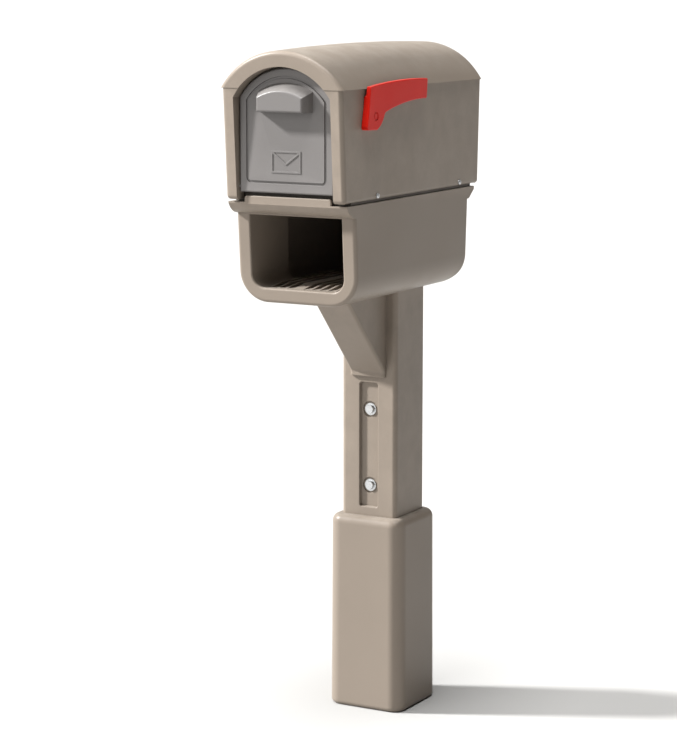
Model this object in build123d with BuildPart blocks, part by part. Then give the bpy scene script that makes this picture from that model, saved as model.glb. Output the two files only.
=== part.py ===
from build123d import *
import os
from math import radians, sin, sqrt

os.makedirs("parts", exist_ok=True)

# Post-mounted mailbox with an open newspaper box below it.
# Origin: centre of the post on the ground. +Z is up, the front faces -Y, the flag is on the +X side.
# "Forward" distances are measured from the post's centre towards -Y, "rear" ones towards +Y.

# ---------------------------------------------------------------- post and base sleeve
post_width = 120.0
post_height = 836.0
post_corner_radius = 9.0
post_wall = 5.0
post_cap_thickness = 6.0
timber_width = 89.0
timber_clearance = 0.5

sleeve_height = 387.0
sleeve_ledge = 20.1
sleeve_spread = 3.4
sleeve_corner_radius = 27.0
sleeve_shoulder_radius = 16.0
sleeve_wall = 5.5
sleeve_foot_radius = 9.0
sleeve_foot_width = 17.0
sleeve_foot_thickness = 10.0
sleeve_clearance = 0.4

panel_width = 41.0
panel_height = 248.0
panel_rise = 17.0
panel_depth = 7.0
panel_corner_radius = 6.0
panel_taper = 12.0
panel_edge_radius = 1.6
panel_wall = 4.0

lag_spacing = 151.0
lag_rise = 43.0
lag_seat_diameter = 32.0
lag_seat_depth = 3.0
lag_hole_diameter = 8.6
lag_shank_diameter = 8.0
lag_length = 50.0
lag_head_width = 16.0
lag_head_height = 5.5
lag_washer_diameter = 24.0
lag_washer_thickness = 2.0

# ---------------------------------------------------------------- newspaper box
paper_half_width = 125.0
paper_side_height = 166.0
paper_wall = 3.4
paper_side_bottom_radius = 58.0
paper_rear_bottom_radius = 38.0
paper_front_top = 343.5
paper_front_rake = 11.5
paper_rear_top = 120.0
paper_rear_rake = 9.0
paper_front_edge_radius = 7.0
paper_rear_edge_radius = 10.0

rim_height = 23.0
rim_edge_height = 3.0
rim_front_reach = 27.5
rim_rear_reach = 22.0
rim_corner_radius = 6.0
rim_ledge_width = 20.0
rim_deck_thickness = 4.0

lip_side_gap = 10.0
lip_height = 12.0
lip_thickness = 5.0
lip_corner_radius = 5.0
lip_edge_radius = 2.0

paper_opening_side = 28.0
paper_opening_rise = 27.0
paper_opening_head = 2.0
paper_opening_bottom_radius = 26.0
paper_frame_thickness = 5.0
paper_sill_radius = 3.0
collar_depth = 130.0
collar_wall = 3.0

tray_thickness = 4.0
tray_clearance = 1.0
tray_rib_count = 9
tray_rib_height = 6.0
tray_rib_width = 5.0
tray_rib_ramp = 45.0
tray_rib_setback = 16.0
tray_leg_width = 4.0
tray_leg_inset = 7.0

# ---------------------------------------------------------------- support brace
brace_half_width = 38.5
brace_bottom_gap = 12.0
brace_reach_top = 159.0
brace_nose_reach = 7.0
brace_nose_rise = 11.0
brace_wall = 4.0
brace_edge_radius = 6.5
brace_nose_radius = 8.0
brace_foot_radius = 2.5
hook_width = 40.0
hook_thickness = 4.0
hook_drop = 8.0
hook_clearance = 0.6
hook_rise = 40.0
hook_fall = 46.0

# ---------------------------------------------------------------- hood
hood_gap = 4.5
hood_side_step = 0.2
hood_side_height = 203.5
hood_wall = 3.2
hood_front_wall = 4.0
hood_front_reach = 9.0
hood_front_rake = 13.0
hood_rear_reach = 17.0
hood_rear_rake = 8.5
hood_front_edge_radius = 8.0
hood_rear_edge_radius = 4.0
hood_foot_radius = 7.0

eave_overhang = 4.2
roof_front_rise = 67.0
roof_middle_rise = 76.0
roof_rear_rise = 70.5
roof_front_overhang = 1.0
roof_edge_radius = 8.0
roof_rear_edge_radius = 6.0
roof_span = 30.0
roof_seam = 3.0

# ---------------------------------------------------------------- door opening and jamb
opening_side = 23.8
opening_spring_drop = 17.0
opening_head = 27.0
jamb_wall = 3.5
stop_width = 7.0
stop_thickness = 4.0
stop_foot_rise = 38.5

# ---------------------------------------------------------------- door
door_side_gap = 3.0
door_setback = 6.0
door_rise = 14.5
door_thickness = 16.0
door_front_wall = 4.5
door_side_wall = 3.0
door_edge_radius = 3.0
door_stop_gap = 0.3
door_rib_thickness = 2.2
door_rib_pitch = 44.0
door_rib_setback = 2.5

groove_inset = 14.0
groove_bottom_inset = 17.0
groove_width = 4.6
groove_depth = 2.4
groove_corner_radius = 10.0

pull_root_half_width = 56.5
pull_front_half_width = 47.0
pull_reach = 26.0
pull_drop = 78.5
pull_root_height = 37.5
pull_root_arch = 15.5
pull_front_height = 26.0
pull_front_arch = 12.5
pull_wall = 3.0
pull_edge_radius = 4.0

envelope_width = 62.0
envelope_height = 40.0
envelope_rise = 57.0
envelope_line = 3.2
envelope_relief = 1.2

hinge_rise = 10.0
hinge_setback = 5.0
hinge_pin_diameter = 5.0
hinge_pin_length = 27.0
hinge_pin_in_door = 10.0
hinge_running_clearance = 0.06
hinge_boss_diameter = 12.0
hinge_boss_length = 12.0

# ---------------------------------------------------------------- magnet catch
catch_drop = 19.0
catch_tab_half_width = 26.0
catch_tab_drop = 9.0
catch_housing_width = 46.0
catch_housing_height = 15.0
catch_housing_depth = 13.0
magnet_width = 16.0
magnet_height = 9.0
magnet_depth = 12.0
magnet_clearance = 0.2
magnet_gap = 0.5
catch_screw_spacing = 34.0
catch_screw_shank = 3.2
strike_width = 34.0
strike_height = 12.0
strike_thickness = 1.2
strike_setback = 0.4
strike_screw_spacing = 24.0
strike_screw_head = 5.6
strike_screw_shank = 3.0
strike_screw_length = 9.0

# ---------------------------------------------------------------- mailbox floor
floor_rise = 14.0
floor_thickness = 3.5
floor_side_clearance = 0.4
floor_door_gap = 8.0
floor_rib_count = 7
floor_rib_pitch = 30.0
floor_rib_height = 1.6
floor_rib_width = 4.0
floor_boss_diameter = 10.0
floor_screw_side_inset = 12.5
floor_screw_front_inset = 50.0
floor_screw_rear_inset = 25.0

# ---------------------------------------------------------------- flag
flag_pivot_setback = 106.0
flag_pivot_drop = 50.0
flag_eave_gap = 1.2
# Corners of the lowered flag as (rearward, upward) distances from its pivot.
flag_front_top = (-21.0, 54.0)
flag_middle_top = (87.0, 61.6)
flag_tip_top = (203.0, 61.3)
flag_tip_bottom = (199.0, 24.2)
flag_middle_bottom = (93.0, 17.0)
flag_neck = (34.0, 5.0)
flag_heel = (15.4, -19.0)
flag_heel_bottom = (4.0, -24.6)
flag_toe = (-35.0, -23.5)
flag_front_middle = (-26.0, 15.0)
flag_neck_radius = 10.0
flag_toe_radius = 6.0
flag_corner_radius = 3.0
flag_rib_stations = [70.0, 110.0, 150.0]
flag_rib_thickness = 2.0
flag_thickness = 8.0
flag_face_thickness = 3.0
flag_wall = 2.4
flag_hub_radius = 43.0
flag_side_gap = 0.8
flag_edge_radius = 1.6
flag_boss_diameter = 20.0
flag_seat_diameter = 16.0
flag_seat_depth = 3.0
pivot_diameter = 8.0
pivot_running_clearance = 0.08
pivot_head_diameter = 12.6
pivot_head_height = 2.2
pivot_head_gap = 0.35
pivot_tail = 9.0
flag_washer_diameter = 20.0
flag_washer_thickness = 1.5
push_nut_diameter = 16.0
push_nut_thickness = 2.0

# ---------------------------------------------------------------- common screws
screw_clearance = 0.1
side_screw_front_inset = 92.0
side_screw_rear_inset = 43.0
side_screw_rise = 7.5
side_screw_head_diameter = 10.0
side_screw_head_height = 3.0
side_screw_shank = 4.0
side_screw_length = 15.0
deck_screw_bite = 1.5
post_screw_shank = 6.0
post_screw_length = 52.0
post_screw_inset = 22.0
post_washer_diameter = 18.0
post_washer_thickness = 1.6
brace_screw_length = 16.0
brace_screw_setback = 69.0
brace_screw_offset = 18.0

# ---------------------------------------------------------------- heights worked out from the above
panel_bottom = sleeve_height + panel_rise
lag_bottom = panel_bottom + lag_rise
brace_bottom = panel_bottom + panel_height + brace_bottom_gap
paper_bottom = post_height
paper_opening_bottom = paper_bottom + paper_opening_rise
flare_foot = paper_bottom + paper_side_height
paper_opening_top = flare_foot - paper_opening_head
rim_top = flare_foot + rim_height
hood_bottom = rim_top + hood_gap
floor_top = hood_bottom + floor_rise
eave_height = hood_bottom + hood_side_height
roof_front_apex = eave_height + roof_front_rise
roof_middle_apex = eave_height + roof_middle_rise
roof_rear_apex = eave_height + roof_rear_rise
opening_spring = eave_height - opening_spring_drop
opening_apex = roof_front_apex - opening_head
stop_foot = hood_bottom + stop_foot_rise
door_bottom = hood_bottom + door_rise
door_apex = opening_apex - door_side_gap
pull_bottom = door_apex - pull_drop
envelope_centre = door_bottom + envelope_rise
hinge_height = door_bottom + hinge_rise
catch_height = opening_apex - catch_drop
flag_pivot_height = eave_height - flag_pivot_drop

# ---------------------------------------------------------------- distances across, worked out
post_half = post_width / 2
timber_half = timber_width / 2
sleeve_top_width = post_width + 2 * sleeve_ledge
sleeve_bottom_width = sleeve_top_width + sleeve_spread
post_screw_offset = post_half - post_screw_inset
paper_opening_half_width = paper_half_width - paper_opening_side
floor_screw_half_spacing = paper_half_width - floor_screw_side_inset
hood_half_width = paper_half_width - hood_side_step
eave_half_width = hood_half_width + eave_overhang
opening_half_width = hood_half_width - opening_side
lip_half_width = opening_half_width - lip_side_gap
door_half_width = opening_half_width - door_side_gap
flag_inner_face = eave_half_width + flag_eave_gap
flag_outer_face = flag_inner_face + flag_thickness
flag_hub_face = hood_half_width + flag_side_gap
flag_seat_face = flag_outer_face - flag_seat_depth

# ---------------------------------------------------------------- distances to front and rear, worked out
panel_floor = post_half - panel_depth
lag_seat = panel_floor - lag_seat_depth
brace_forward_top = post_half + brace_reach_top
brace_nose_forward = post_half + brace_nose_reach
brace_screw_forward = brace_forward_top - brace_screw_setback
paper_front_bottom = paper_front_top - paper_front_rake
paper_rear_bottom = paper_rear_top - paper_rear_rake
rim_front = paper_front_top + rim_front_reach
rim_rear = paper_rear_top + rim_rear_reach
hood_front_bottom = rim_front + hood_front_reach
hood_front_eave = hood_front_bottom + hood_front_rake
hood_rear_bottom = rim_rear + hood_rear_reach
hood_rear_eave = hood_rear_bottom + hood_rear_rake
door_front = hood_front_bottom - door_setback
door_back = door_front - door_thickness
stop_front = door_back - door_stop_gap
jamb_rear = stop_front - stop_thickness
strike_back = door_back + strike_setback
magnet_face = strike_back - magnet_gap
hinge_forward = door_front - hinge_setback
hinge_boss_reach = hinge_pin_length - hinge_pin_in_door - door_side_gap
floor_front = door_back - floor_door_gap
floor_screw_front = floor_front - floor_screw_front_inset
floor_screw_rear = paper_rear_top - floor_screw_rear_inset
side_screw_front = floor_front - side_screw_front_inset
side_screw_rear = paper_rear_top - side_screw_rear_inset
flag_pivot_forward = hood_front_eave - flag_pivot_setback


# ---------------------------------------------------------------- shared shapes
def arch_face(half_width, bottom, spring, apex):
    """Face with straight legs and a round top: local x is across, local y is up."""
    with BuildSketch() as outline:
        with BuildLine():
            Polyline(
                (-half_width, spring), (-half_width, bottom), (half_width, bottom), (half_width, spring)
            )
            ThreePointArc((half_width, spring), (0, apex), (-half_width, spring))
        make_face()
    return outline.sketch


def pan_screw(head_diameter, head_height, shank_diameter, length):
    """Round-headed screw along +Z, with its head's underside at z = 0 and a cross recess on top."""
    with BuildPart() as screw:
        Cylinder(head_diameter / 2, head_height, align=(Align.CENTER, Align.CENTER, Align.MIN))
        fillet(screw.faces().sort_by(Axis.Z)[-1].edges(), head_height * 0.7)
        with BuildSketch(Plane.XY.offset(head_height)):
            Rectangle(head_diameter * 0.5, head_diameter * 0.12)
            Rectangle(head_diameter * 0.12, head_diameter * 0.5)
        extrude(amount=-head_height * 0.5, mode=Mode.SUBTRACT)
        Cylinder(shank_diameter / 2, length, align=(Align.CENTER, Align.CENTER, Align.MAX))
        chamfer(screw.faces().sort_by(Axis.Z)[0].edges(), shank_diameter * 0.3)
    return screw.part


def hex_lag(head_width, head_height, shank_diameter, length):
    """Hexagon-headed lag screw along +Z, with its head's underside at z = 0."""
    with BuildPart() as screw:
        with BuildSketch():
            RegularPolygon(head_width / 2, 6, major_radius=False)
        extrude(amount=head_height)
        with BuildSketch():
            Circle(head_width * 0.55)
        extrude(amount=head_height, taper=12, mode=Mode.INTERSECT)
        Cylinder(shank_diameter / 2, length, align=(Align.CENTER, Align.CENTER, Align.MAX))
        chamfer(screw.faces().sort_by(Axis.Z)[0].edges(), shank_diameter * 0.35)
    return screw.part


def washer(outer_diameter, bore_diameter, thickness):
    """Flat ring along +Z, from z = 0 up."""
    with BuildPart() as ring:
        with BuildSketch():
            Circle(outer_diameter / 2)
            Circle(bore_diameter / 2, mode=Mode.SUBTRACT)
        extrude(amount=thickness)
    return ring.part


def forward_plane(across, forward, height):
    """Plane whose normal points to the front (-Y)."""
    return Plane(origin=(across, -forward, height), x_dir=(1, 0, 0), z_dir=(0, -1, 0))


# ---------------------------------------------------------------- base sleeve
def sleeve_block(inset, top):
    """Tapered square block of the sleeve, each side moved in by inset, open ends as planes."""
    bottom_size = sleeve_bottom_width - 2 * inset
    top_size = sleeve_top_width - 2 * inset
    with BuildPart() as block:
        with BuildSketch():
            RectangleRounded(bottom_size, bottom_size, sleeve_corner_radius - inset)
        with BuildSketch(Plane.XY.offset(top)):
            RectangleRounded(top_size, top_size, sleeve_corner_radius - inset)
        loft()
        fillet(block.faces().sort_by(Axis.Z)[-1].edges(), sleeve_shoulder_radius - inset)
    return block.part


sleeve_hole = post_width + 2 * sleeve_clearance

foot_hole = sleeve_bottom_width - 2 * sleeve_foot_width

with BuildPart() as sleeve_hollow:
    add(sleeve_block(sleeve_wall, sleeve_height - sleeve_wall))
    split(bisect_by=Plane.XY.offset(sleeve_foot_thickness), keep=Keep.TOP)

with BuildPart() as base_sleeve:
    add(sleeve_block(0, sleeve_height))
    fillet(base_sleeve.faces().sort_by(Axis.Z)[0].edges(), sleeve_foot_radius)
    add(sleeve_hollow.part, mode=Mode.SUBTRACT)
    with BuildSketch():
        RectangleRounded(foot_hole, foot_hole, sleeve_corner_radius - sleeve_foot_width)
    extrude(amount=2 * sleeve_foot_thickness, mode=Mode.SUBTRACT)
    with BuildSketch(Plane.XY.offset(sleeve_height)):
        RectangleRounded(sleeve_hole, sleeve_hole, post_corner_radius + sleeve_clearance)
    extrude(amount=-2 * sleeve_wall, mode=Mode.SUBTRACT)

base_sleeve.part.label = "base_sleeve"
export_step(base_sleeve.part, "parts/base_sleeve.step")

# ---------------------------------------------------------------- post column
lag_heights = [lag_bottom, lag_bottom + lag_spacing]
hook_heights = [brace_bottom + hook_rise, paper_bottom - hook_fall]
slot_height = hook_thickness + hook_drop + 2 * hook_clearance
post_screw_places = [
    (across * post_screw_offset, along * post_screw_offset) for across in (-1, 1) for along in (-1, 1)
]
inner_half = post_half - post_wall
panel_middle = panel_bottom + panel_height / 2

with BuildPart() as post_column:
    with BuildSketch():
        RectangleRounded(post_width, post_width, post_corner_radius)
    extrude(amount=paper_bottom)
    with BuildSketch():
        RectangleRounded(2 * inner_half, 2 * inner_half, post_corner_radius - post_wall)
    extrude(amount=paper_bottom - post_cap_thickness, mode=Mode.SUBTRACT)
    # Backing of the sunk panel, inside the front wall.
    with BuildSketch(forward_plane(0, inner_half, panel_middle)):
        RectangleRounded(panel_width + 2 * panel_wall, panel_height + 2 * panel_wall, panel_corner_radius)
    extrude(amount=panel_floor - panel_wall - inner_half)
    # Bosses behind the lag screws' seats; they reach to the timber.
    with BuildSketch(forward_plane(0, timber_half + timber_clearance, 0)):
        with Locations(*[(0, height) for height in lag_heights]):
            Circle(lag_seat_diameter / 2 + panel_wall)
    extrude(until=Until.NEXT)
    # The sunk panel, with drafted walls and round seats.
    with BuildSketch(forward_plane(0, panel_floor, panel_middle)):
        RectangleRounded(
            panel_width - 2 * panel_depth * sin(radians(panel_taper)),
            panel_height - 2 * panel_depth * sin(radians(panel_taper)),
            panel_corner_radius - 2,
        )
    extrude(amount=panel_depth + 1, taper=-panel_taper, mode=Mode.SUBTRACT)
    panel_mouth = post_column.faces().sort_by(Axis.Y)[0].inner_wires()[0]
    fillet(panel_mouth.edges(), panel_edge_radius)
    with BuildSketch(forward_plane(0, lag_seat, 0)):
        with Locations(*[(0, height) for height in lag_heights]):
            Circle(lag_seat_diameter / 2)
    extrude(amount=lag_seat_depth + 1, mode=Mode.SUBTRACT)
    with BuildSketch(forward_plane(0, 0, 0)):
        with Locations(*[(0, height) for height in lag_heights]):
            Circle(lag_hole_diameter / 2)
    extrude(amount=post_half, mode=Mode.SUBTRACT)
    # Slots for the brace's hooks.
    with BuildSketch(forward_plane(0, 0, 0)):
        for height in hook_heights:
            with Locations((0, height - hook_drop / 2)):
                Rectangle(hook_width + 2 * hook_clearance, slot_height)
    extrude(amount=post_width, mode=Mode.SUBTRACT)
    # Holes in the cap for the newspaper box's screws.
    with BuildSketch(Plane.XY.offset(paper_bottom)):
        with Locations(*post_screw_places):
            Circle(post_screw_shank / 2 + screw_clearance)
    extrude(amount=-2 * post_cap_thickness, mode=Mode.SUBTRACT)

post_column.part.label = "post_column"
export_step(post_column.part, "parts/post_column.step")

# ---------------------------------------------------------------- lag screws and washers
lag_head_forward = lag_seat + lag_washer_thickness

with BuildPart() as post_lag_screws:
    with Locations(*[forward_plane(0, lag_head_forward, height) for height in lag_heights]):
        add(hex_lag(lag_head_width, lag_head_height, lag_shank_diameter, lag_length))

post_lag_screws.part.label = "post_lag_screws"
export_step(post_lag_screws.part, "parts/post_lag_screws.step")

with BuildPart() as post_lag_washers:
    with Locations(*[forward_plane(0, lag_seat, height) for height in lag_heights]):
        add(washer(lag_washer_diameter, lag_hole_diameter, lag_washer_thickness))

post_lag_washers.part.label = "post_lag_washers"
export_step(post_lag_washers.part, "parts/post_lag_washers.step")

# ---------------------------------------------------------------- support brace
nose_height = brace_bottom + brace_nose_rise
slope_run = (brace_forward_top - brace_nose_forward) / (paper_bottom - nose_height)
brace_screw_places = [(across * brace_screw_offset, -brace_screw_forward) for across in (-1, 1)]


def slope_forward(height):
    """How far forward of the post's centre the brace's sloping face is at a height."""
    return brace_nose_forward + (height - nose_height) * slope_run


with BuildPart() as support_brace:
    with BuildSketch(Plane.YZ) as brace_side:
        with BuildLine():
            Polyline(
                (-post_half, brace_bottom),
                (-post_half, paper_bottom),
                (-brace_forward_top, paper_bottom),
                (-brace_nose_forward, nose_height),
                (-brace_nose_forward, brace_bottom),
                (-post_half, brace_bottom),
            )
        make_face()
        nose_corner = brace_side.vertices().sort_by_distance((-brace_nose_forward, nose_height))[0]
        fillet(nose_corner, brace_nose_radius)
    extrude(amount=brace_half_width, both=True)
    slope_face = support_brace.faces().filter_by(lambda face: face.normal_at().Z < -0.2).sort_by(Axis.Z)[-1]
    fillet(slope_face.edges().filter_by(lambda edge: abs(edge.center().X) > 1), brace_edge_radius)
    foot_face = support_brace.faces().sort_by(Axis.Z)[0]
    fillet(foot_face.edges().filter_by(lambda edge: edge.center().Y < -post_half - 0.1), brace_foot_radius)
    # Hollow inside, with its back open towards the post.
    with BuildSketch(Plane.YZ):
        add(brace_side.sketch_local)
        offset(amount=-brace_wall, kind=Kind.INTERSECTION, mode=Mode.REPLACE)
    extrude(amount=brace_half_width - brace_wall, both=True, mode=Mode.SUBTRACT)
    with BuildSketch(forward_plane(0, post_half, (paper_bottom + brace_bottom + brace_nose_rise) / 2)):
        Rectangle(
            2 * (brace_half_width - brace_wall),
            paper_bottom - brace_bottom - brace_nose_rise - 2 * brace_wall,
        )
    extrude(amount=brace_wall + 1, mode=Mode.SUBTRACT)
    # Shelves, each carrying a hook that drops behind the post's front wall.
    for height in hook_heights:
        shelf_front = slope_forward(height - hook_thickness / 2) - brace_wall / 2
        shelf_depth = shelf_front - post_half
        with BuildSketch(Plane.XY.offset(height - hook_thickness / 2)):
            with Locations((0, -post_half - shelf_depth / 2)):
                Rectangle(2 * brace_half_width - brace_wall, shelf_depth)
            hook_back = inner_half - hook_clearance - hook_thickness
            with Locations((0, -(post_half + hook_back) / 2)):
                Rectangle(hook_width, post_half - hook_back)
        extrude(amount=hook_thickness)
        with BuildSketch(Plane.XY.offset(height)):
            with Locations((0, -hook_back - hook_thickness / 2)):
                Rectangle(hook_width, hook_thickness)
        extrude(amount=-hook_thickness / 2 - hook_drop)
    # Screw holes in the top plate.
    with BuildSketch(Plane.XY.offset(paper_bottom)):
        with Locations(*brace_screw_places):
            Circle(side_screw_shank / 2 + screw_clearance)
    extrude(amount=-2 * brace_wall, mode=Mode.SUBTRACT)

support_brace.part.label = "support_brace"
export_step(support_brace.part, "parts/support_brace.step")

# ---------------------------------------------------------------- newspaper box
def paper_block(side_inset, front_inset, top):
    """Solid of the tub, moved in by the insets, up to a top height, with its long bottom edges round."""
    with BuildPart() as block:
        bottom = paper_bottom + side_inset
        with BuildSketch(Plane.YZ) as side_view:
            with BuildLine():
                Polyline(
                    (-paper_front_at(bottom) + front_inset, bottom),
                    (paper_rear_at(bottom) - side_inset, bottom),
                    (paper_rear_at(top) - side_inset, top),
                    (-paper_front_at(top) + front_inset, top),
                    (-paper_front_at(bottom) + front_inset, bottom),
                )
            make_face()
            fillet(
                side_view.vertices().sort_by(Axis.X)[-2:].sort_by(Axis.Y)[0],
                paper_rear_bottom_radius - side_inset,
            )
        extrude(amount=paper_half_width, both=True)
        half_width = paper_half_width - side_inset
        with BuildSketch(forward_plane(0, -2 * rim_rear, 0)) as front_view:
            with Locations((0, (bottom + top) / 2)):
                Rectangle(2 * half_width, top - bottom)
            fillet(front_view.vertices().group_by(Axis.Y)[0], paper_side_bottom_radius - side_inset)
        extrude(amount=4 * rim_front, mode=Mode.INTERSECT)
    return block.part


def paper_front_at(height):
    """Forward distance of the tub's raked front face at a height."""
    return paper_front_bottom + (height - paper_bottom) * paper_front_slope


def paper_rear_at(height):
    """Rear distance of the tub's raked rear wall at a height."""
    return paper_rear_bottom + (height - paper_bottom) * paper_rear_slope


paper_front_slope = (paper_front_top - paper_front_bottom) / (flare_foot - paper_bottom)
paper_rear_slope = (paper_rear_top - paper_rear_bottom) / (flare_foot - paper_bottom)
flare_waist_forward = paper_front_top + 0.66 * (rim_front - paper_front_top)
flare_waist_height = flare_foot + 0.4 * (rim_top - rim_edge_height - flare_foot)


def rim_profile():
    """Side outline of the flared rim: a round nose at the front, a sloping one at the rear."""
    with BuildSketch() as outline:
        with BuildLine():
            ThreePointArc(
                (-paper_front_top, flare_foot),
                (-flare_waist_forward, flare_waist_height),
                (-rim_front, rim_top - rim_edge_height),
            )
            Polyline(
                (-rim_front, rim_top - rim_edge_height),
                (-rim_front, rim_top),
                (rim_rear, rim_top),
                (rim_rear, rim_top - 2 * rim_edge_height),
                (paper_rear_at(flare_foot), flare_foot),
                (-paper_front_top, flare_foot),
            )
        make_face()
    return outline.sketch


def paper_opening_face(grow):
    """Face of the front opening, grown outwards, with its lower corners round."""
    with BuildSketch() as outline:
        low = paper_opening_bottom - grow
        high = paper_opening_top + grow
        with Locations((0, (low + high) / 2)):
            Rectangle(2 * (paper_opening_half_width + grow), high - low)
        fillet(outline.vertices().group_by(Axis.Y)[0], paper_opening_bottom_radius + grow)
    return outline.sketch


collar_back = paper_front_bottom - collar_depth
deck_bottom = rim_top - rim_deck_thickness
deck_hole_half_width = paper_half_width - rim_ledge_width
deck_screw_places = [
    (across * floor_screw_half_spacing, along)
    for across in (-1, 1)
    for along in (-floor_screw_front, floor_screw_rear)
]

with BuildPart() as paper_collar:
    with BuildSketch(forward_plane(0, collar_back, 0)):
        add(paper_opening_face(collar_wall))
    extrude(amount=2 * collar_depth)
    add(paper_block(0, 0, rim_top), mode=Mode.INTERSECT)

with BuildPart() as rim_lip:
    with BuildSketch(forward_plane(0, rim_front - lip_thickness, rim_top)) as lip_view:
        with Locations((0, (lip_height - rim_edge_height) / 2)):
            Rectangle(2 * lip_half_width, lip_height + rim_edge_height)
        fillet(lip_view.vertices().group_by(Axis.Y)[-1], lip_corner_radius)
    extrude(amount=lip_thickness)
    lip_outline = rim_lip.faces().sort_by(Axis.Y)[0].edges()
    fillet(lip_outline.filter_by(lambda edge: edge.center().Z > rim_top), lip_edge_radius)

with BuildPart() as newspaper_box:
    add(paper_block(0, 0, rim_top))
    rear_uprights = newspaper_box.edges().filter_by(
        lambda edge: edge.center().Y > 100 and abs(edge.center().X) > paper_half_width - 1 and edge.length > 90
    )
    fillet(rear_uprights, paper_rear_edge_radius)
    front_face = newspaper_box.faces().sort_by(Axis.Y)[0]
    fillet(
        front_face.edges().filter_by(lambda edge: edge.center().Z < rim_top - 1), paper_front_edge_radius
    )
    with BuildSketch(Plane.YZ):
        add(rim_profile())
    extrude(amount=paper_half_width, both=True)
    add(paper_block(paper_wall, paper_frame_thickness, deck_bottom), mode=Mode.SUBTRACT)
    with BuildSketch(Plane.YZ):
        add(rim_profile())
        offset(amount=-paper_wall, kind=Kind.INTERSECTION, mode=Mode.REPLACE)
    extrude(amount=paper_half_width - paper_wall, both=True, mode=Mode.SUBTRACT)
    add(paper_collar.part)
    with BuildSketch(forward_plane(0, collar_back - 1, 0)):
        add(paper_opening_face(0))
    extrude(amount=3 * collar_depth, mode=Mode.SUBTRACT)
    tub_front = newspaper_box.faces().filter_by(GeomType.PLANE).filter_by(
        lambda face: face.normal_at().Y < -0.9 and len(face.inner_wires()) > 0
    )[0]
    mouth_edges = tub_front.inner_wires()[0].edges()
    fillet(mouth_edges.filter_by(lambda edge: edge.center().Z < paper_opening_top - 1), paper_sill_radius)
    # The deck round the top: a hole to the mail floor, and the screw holes.
    deck_front = paper_front_bottom
    deck_rear = paper_rear_top - rim_ledge_width
    with BuildSketch(Plane.XY.offset(rim_top)):
        with Locations((0, (deck_rear - deck_front) / 2)):
            RectangleRounded(2 * deck_hole_half_width, deck_front + deck_rear, rim_corner_radius)
        with Locations(*deck_screw_places):
            Circle(side_screw_shank / 2 + screw_clearance)
    extrude(amount=-2 * rim_deck_thickness, mode=Mode.SUBTRACT)
    # Raised lip along the front rim, between the hood's legs.
    add(rim_lip.part)
    # Screw holes in the bottom.
    with BuildSketch(Plane.XY.offset(paper_bottom - 1)):
        with Locations(*post_screw_places):
            Circle(post_screw_shank / 2 + screw_clearance)
        with Locations(*brace_screw_places):
            Circle(side_screw_shank / 2 + screw_clearance)
    extrude(amount=paper_wall + 2, mode=Mode.SUBTRACT)

newspaper_box.part.label = "newspaper_box"
export_step(newspaper_box.part, "parts/newspaper_box.step")

# ---------------------------------------------------------------- newspaper tray
tray_top = paper_opening_bottom
tray_bottom = tray_top - tray_thickness
tray_front = collar_back - tray_clearance
tray_rear = paper_rear_at(tray_bottom) - paper_wall - tray_clearance - paper_rear_bottom_radius / 4
tub_corner_rise = paper_bottom + paper_side_bottom_radius - tray_bottom
tray_half_width = (
    paper_half_width
    - paper_side_bottom_radius
    + sqrt((paper_side_bottom_radius - paper_wall) ** 2 - tub_corner_rise**2)
    - tray_clearance
)
tub_flat_half_width = paper_half_width - paper_side_bottom_radius
rib_front = paper_front_at(paper_opening_bottom) - tray_rib_setback
rib_span = 2 * (paper_opening_half_width - paper_opening_bottom_radius) - tray_rib_width
tray_rib_pitch = rib_span / (tray_rib_count - 1)

with BuildPart() as newspaper_tray:
    with BuildSketch(Plane.XY.offset(tray_bottom)):
        with Locations((0, (tray_rear - tray_front) / 2)):
            Rectangle(2 * tray_half_width, tray_front + tray_rear)
    extrude(amount=tray_thickness)
    # Long low ribs with ramped front ends.
    with BuildSketch(Plane.YZ) as rib_side:
        with BuildLine():
            Polyline(
                (-rib_front, tray_top),
                (-rib_front + tray_rib_ramp, tray_top + tray_rib_height),
                (tray_rear, tray_top + tray_rib_height),
                (tray_rear, tray_top),
                (-rib_front, tray_top),
            )
        make_face()
    rib = extrude(rib_side.sketch, amount=tray_rib_width / 2, both=True, mode=Mode.PRIVATE)
    with GridLocations(tray_rib_pitch, 1, tray_rib_count, 1):
        add(rib)
    # Two long legs that stand on the tub's flat bottom, just inside its round lower corners.
    with BuildSketch(Plane.XY.offset(tray_bottom)):
        with GridLocations(2 * tub_flat_half_width - 2 * tray_leg_inset - tray_leg_width, 1, 2, 1):
            with Locations((0, (tray_rear - tray_front) / 2 - paper_rear_bottom_radius / 2)):
                Rectangle(tray_leg_width, tray_front + tray_rear - paper_rear_bottom_radius)
    extrude(amount=-(tray_bottom - paper_bottom - paper_wall))

newspaper_tray.part.label = "newspaper_tray"
export_step(newspaper_tray.part, "parts/newspaper_tray.step")

# ---------------------------------------------------------------- screws through the tub's bottom and deck
tub_floor = paper_bottom + paper_wall

with BuildPart() as box_to_post_washers:
    with Locations(*[(x, y, tub_floor) for x, y in post_screw_places]):
        add(washer(post_washer_diameter, post_screw_shank + 2 * screw_clearance, post_washer_thickness))

box_to_post_washers.part.label = "box_to_post_washers"
export_step(box_to_post_washers.part, "parts/box_to_post_washers.step")

with BuildPart() as box_to_post_screws:
    with Locations(*[(x, y, tub_floor + post_washer_thickness) for x, y in post_screw_places]):
        add(pan_screw(2 * post_screw_shank, 0.6 * post_screw_shank, post_screw_shank, post_screw_length))

box_to_post_screws.part.label = "box_to_post_screws"
export_step(box_to_post_screws.part, "parts/box_to_post_screws.step")

with BuildPart() as box_to_brace_screws:
    with Locations(*[(x, y, tub_floor) for x, y in brace_screw_places]):
        add(pan_screw(side_screw_head_diameter, side_screw_head_height, side_screw_shank, brace_screw_length))

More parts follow.
